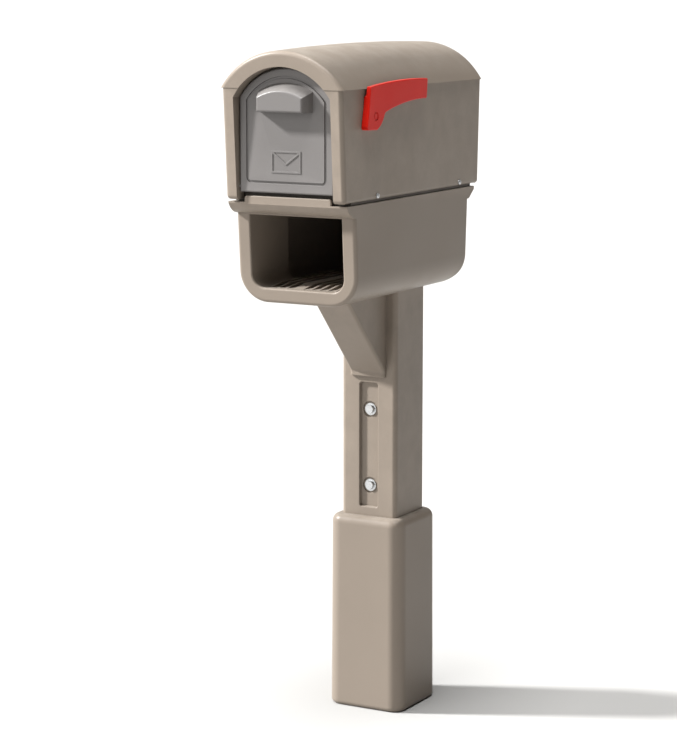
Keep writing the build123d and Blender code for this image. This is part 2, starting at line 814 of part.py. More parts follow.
box_to_brace_screws.part.label = "box_to_brace_screws"
export_step(box_to_brace_screws.part, "parts/box_to_brace_screws.step")

# ---------------------------------------------------------------- mailbox floor
floor_half_width = hood_half_width - hood_wall - floor_side_clearance
floor_rear = hood_rear_bottom - hood_wall - floor_side_clearance
skirt_rear = rim_rear - floor_boss_diameter
floor_under = floor_top - floor_thickness
side_screw_height = hood_bottom + side_screw_rise
side_screw_stations = [-side_screw_front, side_screw_rear]


def side_plane(side, along, height, across):
    """Plane at x = side * across whose normal points outwards through a side wall."""
    return Plane(origin=(side * across, along, height), x_dir=(0, side, 0), z_dir=(side, 0, 0))


with BuildPart() as mailbox_floor:
    with BuildSketch(Plane.XY.offset(floor_under)):
        with Locations((0, (floor_rear - floor_front) / 2)):
            Rectangle(2 * floor_half_width, floor_front + floor_rear)
    extrude(amount=floor_thickness)
    with BuildSketch(Plane.XY.offset(rim_top)) as skirt:
        with Locations((0, (skirt_rear - floor_front) / 2)):
            Rectangle(2 * floor_half_width, floor_front + skirt_rear)
            Rectangle(
                2 * (floor_half_width - floor_thickness),
                floor_front + skirt_rear - 2 * floor_thickness,
                mode=Mode.SUBTRACT,
            )
        with Locations(*deck_screw_places):
            Circle(floor_boss_diameter / 2)
    extrude(amount=floor_under - rim_top)
    for side in (-1, 1):
        for along in side_screw_stations:
            with BuildSketch(side_plane(side, along, side_screw_height, floor_half_width)):
                Circle(floor_boss_diameter / 2)
            extrude(amount=-side_screw_length)
    # Low runners that keep the mail off the floor.
    runner_length = floor_front + floor_rear - 6 * floor_rib_width
    with BuildSketch(Plane.XY.offset(floor_top)):
        with Locations((0, (floor_rear - floor_front) / 2)):
            with GridLocations(floor_rib_pitch, 1, floor_rib_count, 1):
                SlotOverall(runner_length, floor_rib_width, rotation=90)
    extrude(amount=floor_rib_height)
    for side in (-1, 1):
        for along in side_screw_stations:
            with BuildSketch(side_plane(side, along, side_screw_height, floor_half_width)):
                Circle(side_screw_shank / 2 + screw_clearance)
            extrude(amount=-side_screw_length, mode=Mode.SUBTRACT)
    with BuildSketch(Plane.XY.offset(floor_top)):
        with Locations(*deck_screw_places):
            Circle(side_screw_shank / 2 + screw_clearance)
    extrude(amount=rim_top - floor_top, mode=Mode.SUBTRACT)

mailbox_floor.part.label = "mailbox_floor"
export_step(mailbox_floor.part, "parts/mailbox_floor.step")

deck_screw_length = floor_top - deck_bottom + deck_screw_bite

with BuildPart() as floor_screws:
    with Locations(*[(x, y, floor_top) for x, y in deck_screw_places]):
        add(pan_screw(side_screw_head_diameter, side_screw_head_height, side_screw_shank, deck_screw_length))

floor_screws.part.label = "floor_screws"
export_step(floor_screws.part, "parts/floor_screws.step")


# ---------------------------------------------------------------- hood
def hood_front_at(height):
    """Forward distance of the hood's raked front face at a height."""
    return hood_front_bottom + (height - hood_bottom) * hood_front_slope


def hood_rear_at(height):
    """Rear distance of the hood's raked rear wall at a height."""
    return hood_rear_bottom + (height - hood_bottom) * hood_rear_slope


hood_front_slope = (hood_front_eave - hood_front_bottom) / (eave_height - hood_bottom)
hood_rear_slope = (hood_rear_eave - hood_rear_bottom) / (eave_height - hood_bottom)
wall_top = eave_height + roof_seam


def hood_walls(inset, front_inset, bottom):
    """Solid between the side walls, raked at both ends, moved in by the insets."""
    with BuildPart() as block:
        with BuildSketch(Plane.YZ):
            with BuildLine():
                Polyline(
                    (-hood_front_at(bottom) + front_inset, bottom),
                    (hood_rear_at(bottom) - inset, bottom),
                    (hood_rear_at(wall_top) - inset, wall_top),
                    (-hood_front_at(wall_top) + front_inset, wall_top),
                    (-hood_front_at(bottom) + front_inset, bottom),
                )
            make_face()
        extrude(amount=hood_half_width - inset, both=True)
    return block.part


def roof_block(half_width, inset, front_overhang):
    """Crowned arch of the roof above the eave, between the raked end planes."""
    stations = [
        (hood_front_at(roof_front_apex) + roof_span, roof_front_apex - inset),
        ((hood_front_eave - hood_rear_eave) / 2, roof_middle_apex - inset),
        (-hood_rear_at(roof_rear_apex) - roof_span, roof_rear_apex - inset),
    ]
    front_cut = Plane(
        origin=(0, -hood_front_at(eave_height) - front_overhang, eave_height),
        x_dir=(1, 0, 0),
        z_dir=(0, -1, -hood_front_slope),
    )
    rear_cut = Plane(
        origin=(0, hood_rear_at(eave_height) - inset, eave_height),
        x_dir=(1, 0, 0),
        z_dir=(0, 1, -hood_rear_slope),
    )
    with BuildPart() as block:
        for forward, apex in stations:
            with BuildSketch(forward_plane(0, forward, 0)):
                with BuildLine():
                    ThreePointArc((half_width, eave_height), (0, apex), (-half_width, eave_height))
                    Line((-half_width, eave_height), (half_width, eave_height))
                make_face()
        loft()
        split(bisect_by=front_cut, keep=Keep.BOTTOM)
        split(bisect_by=rear_cut, keep=Keep.BOTTOM)
    return block.part


with BuildPart() as hood_solid:
    add(hood_walls(0, 0, hood_bottom))
    long_feet = hood_solid.edges().filter_by(Axis.Y).group_by(Axis.Z)[0]
    fillet(long_feet, hood_foot_radius)
    front_face = hood_solid.faces().sort_by(Axis.Y)[0]
    fillet(front_face.edges().filter_by(lambda edge: edge.center().Z < wall_top - 1), hood_front_edge_radius)
    rear_face = hood_solid.faces().sort_by(Axis.Y)[-1]
    fillet(rear_face.edges().filter_by(lambda edge: edge.center().Z < wall_top - 1), hood_rear_edge_radius)

with BuildPart() as roof_solid:
    add(roof_block(eave_half_width, 0, roof_front_overhang))
    front_arc = roof_solid.faces().sort_by(Axis.Y)[0].edges().sort_by(Axis.Z)[-1]
    fillet(front_arc, roof_edge_radius)
    rear_arc = roof_solid.faces().sort_by(Axis.Y)[-1].edges().sort_by(Axis.Z)[-1]
    fillet(rear_arc, roof_rear_edge_radius)

# The jamb that lines the door opening, with its stop and the legs' closed feet.
with BuildPart() as hood_jamb:
    with BuildSketch(forward_plane(0, jamb_rear, 0)):
        add(arch_face(opening_half_width + jamb_wall, hood_bottom, opening_spring, opening_apex + jamb_wall))
    extrude(amount=hood_front_eave)
    with BuildSketch(Plane.XY.offset(hood_bottom)):
        with Locations((0, -jamb_rear - hood_front_bottom / 2)):
            Rectangle(2 * hood_half_width, hood_front_bottom)
    extrude(amount=hood_front_wall)
    with BuildSketch(forward_plane(0, stop_front, 0)):
        add(arch_face(opening_half_width, hood_bottom - 1, opening_spring, opening_apex))
    extrude(amount=hood_front_eave, mode=Mode.SUBTRACT)
    with BuildSketch(forward_plane(0, jamb_rear, 0)):
        stop_half_width = opening_half_width - stop_width
        add(arch_face(stop_half_width, stop_foot, opening_spring, opening_apex - stop_width))
        with Locations((0, (stop_foot + hood_bottom) / 2)):
            Rectangle(2 * opening_half_width, stop_foot - hood_bottom)
    extrude(amount=stop_thickness, mode=Mode.SUBTRACT)
    # Tab for the magnet catch at the crown, with a window for the magnet.
    with BuildSketch(forward_plane(0, jamb_rear, 0)):
        with Locations((0, (catch_height - catch_tab_drop + opening_apex - stop_width) / 2)):
            Rectangle(2 * catch_tab_half_width, opening_apex - stop_width - catch_height + catch_tab_drop)
        with Locations((0, catch_height)):
            Rectangle(magnet_width + 2 * magnet_clearance, magnet_height + 2 * magnet_clearance, mode=Mode.SUBTRACT)
            with GridLocations(catch_screw_spacing, 1, 2, 1):
                Circle(catch_screw_shank / 2 + screw_clearance, mode=Mode.SUBTRACT)
    extrude(amount=stop_thickness)
    # Bosses that hold the hinge pins.
    for side in (-1, 1):
        with BuildSketch(side_plane(side, -hinge_forward, hinge_height, opening_half_width)):
            Circle(hinge_boss_diameter / 2)
        extrude(amount=hinge_boss_reach)

with BuildPart() as hood_shell:
    add(hood_solid.part)
    add(roof_solid.part)
    add(hood_walls(hood_wall, hood_front_wall, hood_bottom - 1), mode=Mode.SUBTRACT)
    add(roof_block(hood_half_width - hood_wall, hood_wall, -hood_front_wall), mode=Mode.SUBTRACT)
    with BuildSketch(forward_plane(0, stop_front, 0)):
        add(arch_face(opening_half_width, hood_bottom - 1, opening_spring, opening_apex))
    extrude(amount=hood_front_eave, mode=Mode.SUBTRACT)
    jamb = hood_jamb.part.intersect(hood_solid.part + roof_solid.part)
    add(jamb)
    for side in (-1, 1):
        with BuildSketch(side_plane(side, -hinge_forward, hinge_height, opening_half_width - 1)):
            Circle(hinge_pin_diameter / 2 + hinge_running_clearance / 2)
        extrude(amount=hinge_boss_reach + 1, mode=Mode.SUBTRACT)
        for along in side_screw_stations:
            with BuildSketch(side_plane(side, along, side_screw_height, hood_half_width + 1)):
                Circle(side_screw_shank / 2 + screw_clearance)
            extrude(amount=-hood_wall - 2, mode=Mode.SUBTRACT)
    with BuildSketch(side_plane(1, -flag_pivot_forward, flag_pivot_height, hood_half_width + 1)):
        Circle(pivot_diameter / 2 + pivot_running_clearance)
    extrude(amount=-hood_wall - 2, mode=Mode.SUBTRACT)

hood_shell.part.label = "hood_shell"
export_step(hood_shell.part, "parts/hood_shell.step")

# ---------------------------------------------------------------- screws through the hood's sides
with BuildPart() as hood_side_screws:
    with Locations(
        *[
            side_plane(side, along, side_screw_height, hood_half_width)
            for side in (-1, 1)
            for along in side_screw_stations
        ]
    ):
        add(pan_screw(side_screw_head_diameter, side_screw_head_height, side_screw_shank, side_screw_length))

hood_side_screws.part.label = "hood_side_screws"
export_step(hood_side_screws.part, "parts/hood_side_screws.step")


# ---------------------------------------------------------------- mail door
def pull_block(inset, drop):
    """Hooded grip that stands out of the door: tall at its root, lower at its front."""
    with BuildPart() as block:
        with BuildSketch(forward_plane(0, door_front - 1, 0)):
            add(
                arch_face(
                    pull_root_half_width - inset,
                    pull_bottom - drop,
                    pull_bottom + pull_root_height - inset,
                    pull_bottom + pull_root_height + pull_root_arch - inset,
                )
            )
        with BuildSketch(forward_plane(0, door_front + pull_reach - inset, 0)):
            add(
                arch_face(
                    pull_front_half_width - inset,
                    pull_bottom - drop,
                    pull_bottom + pull_front_height - inset,
                    pull_bottom + pull_front_height + pull_front_arch - inset,
                )
            )
        loft()
    return block.part


door_pocket_depth = door_thickness - door_front_wall
strike_pad_half_width = strike_width / 2 + 2
strike_pad_half_height = strike_height / 2 + 1
hinge_bore_radius = hinge_pin_diameter / 2 + hinge_running_clearance

with BuildPart() as door_pull:
    add(pull_block(0, 0))
    pull_face = door_pull.faces().sort_by(Axis.Y)[0]
    fillet(pull_face.edges(), pull_edge_radius)
    add(pull_block(pull_wall, 1), mode=Mode.SUBTRACT)

with BuildPart() as door_pocket:
    with BuildSketch(forward_plane(0, door_back, 0)):
        add(
            arch_face(
                door_half_width - door_side_wall,
                door_bottom + door_side_wall,
                opening_spring,
                door_apex - door_side_wall,
            )
        )
    extrude(amount=door_pocket_depth)

# Stiffening ribs, the strike plate's pad and the hinge bosses, all inside the door's pocket.
with BuildPart() as door_ribs:
    with BuildSketch(forward_plane(0, door_back + door_rib_setback, (door_bottom + door_apex) / 2)):
        with GridLocations(door_rib_pitch, 1, 3, 1):
            Rectangle(door_rib_thickness, door_apex - door_bottom)
        with GridLocations(1, door_rib_pitch, 1, 5):
            Rectangle(2 * door_half_width, door_rib_thickness)
    extrude(amount=door_pocket_depth - door_rib_setback)
    with BuildSketch(forward_plane(0, strike_back + strike_thickness, catch_height)):
        Rectangle(2 * strike_pad_half_width, 2 * strike_pad_half_height)
    extrude(amount=door_back + door_pocket_depth - strike_back - strike_thickness)
    with BuildSketch(forward_plane(0, door_back, catch_height)):
        Rectangle(2 * strike_pad_half_width, 2 * strike_pad_half_height)
    extrude(amount=strike_back + strike_thickness - door_back, mode=Mode.SUBTRACT)
    for side in (-1, 1):
        with BuildSketch(side_plane(side, -hinge_forward, hinge_height, door_half_width)):
            Circle(hinge_boss_diameter / 2)
        extrude(amount=-hinge_boss_length)
    add(door_pocket.part, mode=Mode.INTERSECT)

with BuildPart() as mail_door:
    with BuildSketch(forward_plane(0, door_back, 0)):
        add(arch_face(door_half_width, door_bottom, opening_spring, door_apex))
    extrude(amount=door_thickness)
    fillet(mail_door.faces().sort_by(Axis.Y)[0].edges(), door_edge_radius)
    add(door_pocket.part, mode=Mode.SUBTRACT)
    add(door_ribs.part)
    # Groove that runs round the face.
    with BuildSketch(forward_plane(0, door_front, 0)) as groove:
        groove_shift = groove_bottom_inset - groove_inset
        add(arch_face(door_half_width, door_bottom + groove_shift, opening_spring, door_apex))
        offset(amount=-groove_inset, kind=Kind.INTERSECTION, mode=Mode.REPLACE)
        fillet(groove.vertices().group_by(Axis.Y)[0], groove_corner_radius)
        offset(amount=-groove_width, mode=Mode.SUBTRACT)
    extrude(amount=-groove_depth, mode=Mode.SUBTRACT)
    add(door_pull.part)
    # Raised outline of an envelope.
    with BuildSketch(forward_plane(0, door_front - 1, envelope_centre)):
        Rectangle(envelope_width, envelope_height)
        Rectangle(
            envelope_width - 2 * envelope_line, envelope_height - 2 * envelope_line, mode=Mode.SUBTRACT
        )
        with BuildLine():
            Polyline(
                (-envelope_width / 2 + envelope_line, envelope_height / 2 - envelope_line),
                (0, -envelope_height / 10),
                (envelope_width / 2 - envelope_line, envelope_height / 2 - envelope_line),
            )
        trace(line_width=envelope_line)
    extrude(amount=envelope_relief + 1)
    for side in (-1, 1):
        with BuildSketch(side_plane(side, -hinge_forward, hinge_height, door_half_width + 1)):
            Circle(hinge_bore_radius)
        extrude(amount=-hinge_pin_in_door - 1.5, mode=Mode.SUBTRACT)
    with BuildSketch(forward_plane(0, door_back, catch_height)):
        with GridLocations(strike_screw_spacing, 1, 2, 1):
            Circle(strike_screw_shank / 2 + screw_clearance)
    extrude(amount=door_pocket_depth, mode=Mode.SUBTRACT)

mail_door.part.label = "mail_door"
export_step(mail_door.part, "parts/mail_door.step")

with BuildPart() as door_hinge_pins:
    for side in (-1, 1):
        pin_inner = door_half_width - hinge_pin_in_door
        with BuildSketch(side_plane(side, -hinge_forward, hinge_height, pin_inner)):
            Circle(hinge_pin_diameter / 2)
        extrude(amount=hinge_pin_length)
    chamfer(door_hinge_pins.edges().filter_by(GeomType.CIRCLE), hinge_pin_diameter / 10)

door_hinge_pins.part.label = "door_hinge_pins"
export_step(door_hinge_pins.part, "parts/door_hinge_pins.step")

# ---------------------------------------------------------------- strike plate and its screws
with BuildPart() as strike_plate:
    with BuildSketch(forward_plane(0, strike_back, catch_height)):
        RectangleRounded(strike_width, strike_height, strike_height / 6)
        with GridLocations(strike_screw_spacing, 1, 2, 1):
            Circle(strike_screw_head / 2 + screw_clearance, mode=Mode.SUBTRACT)
    extrude(amount=strike_thickness)

strike_plate.part.label = "strike_plate"
export_step(strike_plate.part, "parts/strike_plate.step")

with BuildPart() as strike_screws:
    with BuildSketch(forward_plane(0, strike_back, catch_height)):
        with GridLocations(strike_screw_spacing, 1, 2, 1):
            Circle(strike_screw_head / 2)
    extrude(amount=strike_thickness)
    with BuildSketch(forward_plane(0, strike_back, catch_height)):
        with GridLocations(strike_screw_spacing, 1, 2, 1):
            Circle(strike_screw_shank / 2)
    extrude(amount=strike_screw_length)
    with BuildSketch(forward_plane(0, strike_back, catch_height)):
        with GridLocations(strike_screw_spacing, 1, 2, 1):
            Rectangle(strike_screw_head * 0.7, strike_screw_head * 0.16)
            Rectangle(strike_screw_head * 0.16, strike_screw_head * 0.7)
    extrude(amount=strike_thickness / 2, mode=Mode.SUBTRACT)

strike_screws.part.label = "strike_screws"
export_step(strike_screws.part, "parts/strike_screws.step")

# ---------------------------------------------------------------- magnet catch
with BuildPart() as catch_housing:
    with BuildSketch(forward_plane(0, jamb_rear, catch_height)):
        RectangleRounded(catch_housing_width, catch_housing_height, catch_housing_height / 6)
    extrude(amount=-catch_housing_depth)
    with BuildSketch(forward_plane(0, jamb_rear, catch_height)):
        Rectangle(magnet_width + 2 * magnet_clearance, magnet_height + 2 * magnet_clearance)
    extrude(amount=magnet_face - magnet_depth - jamb_rear, mode=Mode.SUBTRACT)
    with BuildSketch(forward_plane(0, jamb_rear, catch_height)):
        with GridLocations(catch_screw_spacing, 1, 2, 1):
            Circle(catch_screw_shank / 2 + screw_clearance)
    extrude(amount=-catch_housing_depth, mode=Mode.SUBTRACT)

catch_housing.part.label = "catch_housing"
export_step(catch_housing.part, "parts/catch_housing.step")

with BuildPart() as catch_magnet:
    with BuildSketch(forward_plane(0, magnet_face, catch_height)):
        Rectangle(magnet_width, magnet_height)
    extrude(amount=-magnet_depth)
    chamfer(catch_magnet.edges(), magnet_height / 20)

catch_magnet.part.label = "catch_magnet"
export_step(catch_magnet.part, "parts/catch_magnet.step")

with BuildPart() as catch_screws:
    catch_screw_plane = Plane(
        origin=(0, -jamb_rear + catch_housing_depth, catch_height), x_dir=(-1, 0, 0), z_dir=(0, 1, 0)
    )
    with Locations(catch_screw_plane):
        with GridLocations(catch_screw_spacing, 1, 2, 1):
            add(
                pan_screw(
                    2 * catch_screw_shank,
                    0.6 * catch_screw_shank,
                    catch_screw_shank,
                    catch_housing_depth + stop_thickness - 0.5,
                )
            )

catch_screws.part.label = "catch_screws"
export_step(catch_screws.part, "parts/catch_screws.step")


# ---------------------------------------------------------------- flag
def flag_face(inset):
    """Outline of the lowered flag, moved in by inset: local x is rearward from the pivot, local y is up."""
    with BuildSketch() as outline:
        with BuildLine():
            ThreePointArc(flag_front_top, flag_middle_top, flag_tip_top)
            Line(flag_tip_top, flag_tip_bottom)
            ThreePointArc(flag_tip_bottom, flag_middle_bottom, flag_neck)
            ThreePointArc(flag_neck, flag_heel, flag_heel_bottom)
            Polyline(flag_heel_bottom, flag_toe, flag_front_middle, flag_front_top)
        make_face()
        fillet(outline.vertices().sort_by_distance(flag_toe)[0], flag_toe_radius)
        for corner in (flag_front_top, flag_tip_top, flag_tip_bottom):
            fillet(outline.vertices().sort_by_distance(corner)[0], flag_corner_radius)
        if inset > 0:
            offset(amount=-inset, kind=Kind.ARC, mode=Mode.REPLACE)
        else:
            fillet(outline.vertices().sort_by_distance(flag_neck)[0], flag_neck_radius)
    return outline.sketch


def flag_plane(across):
    """Plane through the flag's pivot at x = across, facing outwards."""
    return side_plane(1, -flag_pivot_forward, flag_pivot_height, across)


with BuildPart() as flag_hub:
    with BuildSketch(flag_plane(flag_hub_face)):
        add(flag_face(0))
        Circle(flag_hub_radius, mode=Mode.INTERSECT)
    extrude(amount=flag_outer_face - flag_face_thickness / 2 - flag_hub_face)
    with BuildSketch(flag_plane(flag_hub_face)):
        add(flag_face(flag_wall))
        Circle(flag_hub_radius - flag_wall, mode=Mode.INTERSECT)
    extrude(amount=flag_outer_face - flag_face_thickness - flag_hub_face, mode=Mode.SUBTRACT)

with BuildPart() as flag_ribs:
    with BuildSketch(flag_plane(flag_inner_face + 1)):
        with Locations(*[(station, (flag_tip_top[1] + flag_tip_bottom[1]) / 2) for station in flag_rib_stations]):
            Rectangle(flag_rib_thickness, flag_tip_top[1] - flag_tip_bottom[1] + 2 * flag_wall)
        add(flag_face(flag_wall / 2), mode=Mode.INTERSECT)
    extrude(amount=flag_thickness - flag_face_thickness)

with BuildPart() as mail_flag:
    with BuildSketch(flag_plane(flag_inner_face)):
        add(flag_face(0))
    extrude(amount=flag_thickness)
    fillet(mail_flag.faces().sort_by(Axis.X)[-1].edges(), flag_edge_radius)
    # Hollow on the side towards the hood, with cross ribs and a wall round the hub.
    with BuildSketch(flag_plane(flag_inner_face - 1)):
        add(flag_face(flag_wall))
    extrude(amount=flag_thickness - flag_face_thickness + 1, mode=Mode.SUBTRACT)
    add(flag_hub.part)
    add(flag_ribs.part)
    # Boss round the pivot, with a sunk seat in the outer face and a bore.
    with BuildSketch(flag_plane(flag_hub_face)):
        Circle(flag_boss_diameter / 2)
    extrude(amount=flag_outer_face - flag_hub_face)
    with BuildSketch(flag_plane(flag_seat_face)):
        Circle(flag_seat_diameter / 2)
    extrude(amount=2 * flag_seat_depth, mode=Mode.SUBTRACT)
    with BuildSketch(flag_plane(flag_hub_face - 1)):
        Circle(pivot_diameter / 2 + pivot_running_clearance)
    extrude(amount=2 * flag_thickness, mode=Mode.SUBTRACT)

mail_flag.part.label = "mail_flag"
export_step(mail_flag.part, "parts/mail_flag.step")

# ---------------------------------------------------------------- flag pivot
pivot_head_face = flag_seat_face + pivot_head_gap
wall_inner_face = hood_half_width - hood_wall

with BuildPart() as flag_pivot_pin:
    with BuildSketch(flag_plane(pivot_head_face)):
        Circle(pivot_head_diameter / 2)
    extrude(amount=pivot_head_height)
    fillet(flag_pivot_pin.faces().sort_by(Axis.X)[-1].edges(), pivot_head_height / 3)
    with BuildSketch(flag_plane(pivot_head_face)):
        Circle(pivot_diameter / 2)
    extrude(amount=wall_inner_face - pivot_tail - pivot_head_face)
    chamfer(flag_pivot_pin.faces().sort_by(Axis.X)[0].edges(), pivot_diameter / 8)

flag_pivot_pin.part.label = "flag_pivot_pin"
export_step(flag_pivot_pin.part, "parts/flag_pivot_pin.step")

pivot_ring_bore = pivot_diameter + 2 * pivot_running_clearance

with BuildPart() as flag_washer:
    with Locations(flag_plane(wall_inner_face - flag_washer_thickness)):
        add(washer(flag_washer_diameter, pivot_ring_bore, flag_washer_thickness))

flag_washer.part.label = "flag_washer"
export_step(flag_washer.part, "parts/flag_washer.step")

with BuildPart() as flag_push_nut:
    with BuildSketch(flag_plane(wall_inner_face - flag_washer_thickness)) as nut_face:
        Circle(push_nut_diameter / 2)
        with PolarLocations(push_nut_diameter / 2, 6):
            Circle(push_nut_diameter / 12, mode=Mode.SUBTRACT)
        Circle(pivot_ring_bore / 2, mode=Mode.SUBTRACT)
    extrude(amount=-push_nut_thickness)

flag_push_nut.part.label = "flag_push_nut"
export_step(flag_push_nut.part, "parts/flag_push_nut.step")
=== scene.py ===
import math

import bmesh
import bpy
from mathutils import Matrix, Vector

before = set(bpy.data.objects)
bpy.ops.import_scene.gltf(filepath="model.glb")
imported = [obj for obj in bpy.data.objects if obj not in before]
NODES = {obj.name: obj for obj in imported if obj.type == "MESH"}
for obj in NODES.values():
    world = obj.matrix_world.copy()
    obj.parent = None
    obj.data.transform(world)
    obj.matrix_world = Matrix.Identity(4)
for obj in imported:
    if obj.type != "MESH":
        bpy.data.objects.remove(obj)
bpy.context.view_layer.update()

# ------------------------------------------------------------------ pattern sizes
# Scales are in features per metre, and heights and radii in metres.
CLOUD_SCALE, CLOUD_DETAIL = 7.0, 5.0
BLOTCH_SCALE, BLOTCH_ROUGH = 26.0, 0.6
SPECK_SCALE, SPECK_DETAIL, SPECK_ROUGH = 1500.0, 2.0, 0.7
STIPPLE_SCALE, STIPPLE_DETAIL, STIPPLE_ROUGH = 950.0, 2.0, 0.6
STIPPLE_HEIGHT = 0.00035
WAVE_SCALE, WAVE_DETAIL = 11.0, 2.0
WAVE_STRENGTH, WAVE_HEIGHT = 0.10, 0.004
SOFT_EDGE_RADIUS, SOFT_EDGE_SAMPLES = 0.0009, 4

SPANGLE_SCALE = 900.0
FILM_SCALE = 260.0
SCRATCH_SCALE, SCRATCH_DETAIL = 2600.0, 3.0
SCRATCH_STRENGTH, SCRATCH_HEIGHT = 0.25, 0.00008

GRAIN_SCALE, GRAIN_DETAIL, GRAIN_ROUGH = 1800.0, 5.0, 0.7
GRAIN_STRENGTH, GRAIN_HEIGHT = 0.5, 0.0002

# ------------------------------------------------------------------ colours
# A tint multiplies a material's own colour.
PALE_SPECK_TINT, DARK_SPECK_TINT, RUBBED_EDGE_TINT = 1.35, 0.66, 1.32
DUST_COLOUR = (0.56, 0.53, 0.48)

ZINC_COLOUR = (0.60, 0.61, 0.62)
ZINC_ROUGH = 0.30
DARK_SPANGLE_TINT, PALE_SPANGLE_TINT = 0.85, 1.18
FILM_COLOUR = (0.33, 0.32, 0.29)

FERRITE_DARK, FERRITE_PALE = (0.022, 0.022, 0.024), (0.070, 0.068, 0.066)
FERRITE_CHIP = (0.16, 0.155, 0.15)
FERRITE_METALLIC = 0.35

FLOOR_COLOUR = (0.345, 0.341, 0.334, 1.0)
FLOOR_ROUGH, FLOOR_SPECULAR = 0.9, 0.1
FLOOR_SIZE, FLOOR_SEGMENTS = 160.0, 8

# ------------------------------------------------------------------ light
WORLD_COLOUR = (1.0, 0.97, 0.93, 1.0)
WORLD_SPAN = (-0.6, 0.6)
WORLD_STRENGTHS = (0.42, 0.02)

# Each sun: its name, the way its light travels, its strength and its width in degrees.
SUNS = (
    ("key", (0.73, 0.34, -0.55), 9.4, 6.0),
    ("front_fill", (0.30, 0.90, -0.32), 0.9, 40.0),
    ("overhead", (-0.04, 0.16, -1.0), 4.6, 26.0),
)

# ------------------------------------------------------------------ camera
SENSOR_MM, LENS_MM = 36.0, 119.6
CLIP_END = 500.0
CAMERA_PLACE = (2.251, -4.200, 1.442)
CAMERA_AIM = (-0.0769, -0.0430, 0.6688)


# ------------------------------------------------------------------ shader helpers
def link(tree, source, target):
    tree.links.new(source, target)


def principled(name):
    """A new material with only a Principled surface in it."""
    material = bpy.data.materials.new(name)
    material.use_nodes = True
    tree = material.node_tree
    tree.nodes.clear()
    output = tree.nodes.new("ShaderNodeOutputMaterial")
    shader = tree.nodes.new("ShaderNodeBsdfPrincipled")
    link(tree, shader.outputs["BSDF"], output.inputs["Surface"])
    return material, tree, shader


def object_coords(tree):
    return tree.nodes.new("ShaderNodeTexCoord").outputs["Object"]


def noise(tree, coords, scale, detail=4.0, rough=0.55):
    node = tree.nodes.new("ShaderNodeTexNoise")
    node.inputs["Scale"].default_value = scale
    node.inputs["Detail"].default_value = detail
    node.inputs["Roughness"].default_value = rough
    link(tree, coords, node.inputs["Vector"])
    return node.outputs["Fac"]


def ramp(tree, value, span, result=(0.0, 1.0)):
    """The value's place in span, carried over to result and held at both ends."""
    node = tree.nodes.new("ShaderNodeMapRange")
    sockets = ("From Min", "From Max", "To Min", "To Max")
    for socket, number in zip(sockets, (*span, *result)):
        node.inputs[socket].default_value = number
    link(tree, value, node.inputs["Value"])
    return node.outputs["Result"]


def math_node(tree, kind, a, b, clamp=False):
    """A sum or product of a socket and a socket or number."""
    node = tree.nodes.new("ShaderNodeMath")
    node.operation = kind
    node.use_clamp = clamp
    for index, value in enumerate((a, b)):
        if isinstance(value, float):
            node.inputs[index].default_value = value
        else:
            link(tree, value, node.inputs[index])
    return node.outputs[0]


def mix_colour(tree, factor, a, b):
    """A mix from a to b, each a colour or a socket."""
    node = tree.nodes.new("ShaderNodeMix")
    node.data_type = "RGBA"
    link(tree, factor, node.inputs["Factor"])
    for key, value in (("A", a), ("B", b)):
        socket = [s for s in node.inputs if s.name == key and s.type == "RGBA"][0]
        if isinstance(value, tuple):
            socket.default_value = (*value, 1.0)
        else:
            link(tree, value, socket)
    return [s for s in node.outputs if s.type == "RGBA"][0]


def bump(tree, height, strength, distance, normal=None):
    node = tree.nodes.new("ShaderNodeBump")
    node.inputs["Strength"].default_value = strength
    node.inputs["Distance"].default_value = distance
    link(tree, height, node.inputs["Height"])
    if normal is not None:
        link(tree, normal, node.inputs["Normal"])
    return node.outputs["Normal"]


def edge_wear(tree, span):
    """From 0 on flat faces to 1 on convex edges."""
    geometry = tree.nodes.new("ShaderNodeNewGeometry")
    return ramp(tree, geometry.outputs["Pointiness"], span)


def tinted(colour, factor):
    return tuple(min(1.0, channel * factor) for channel in colour)


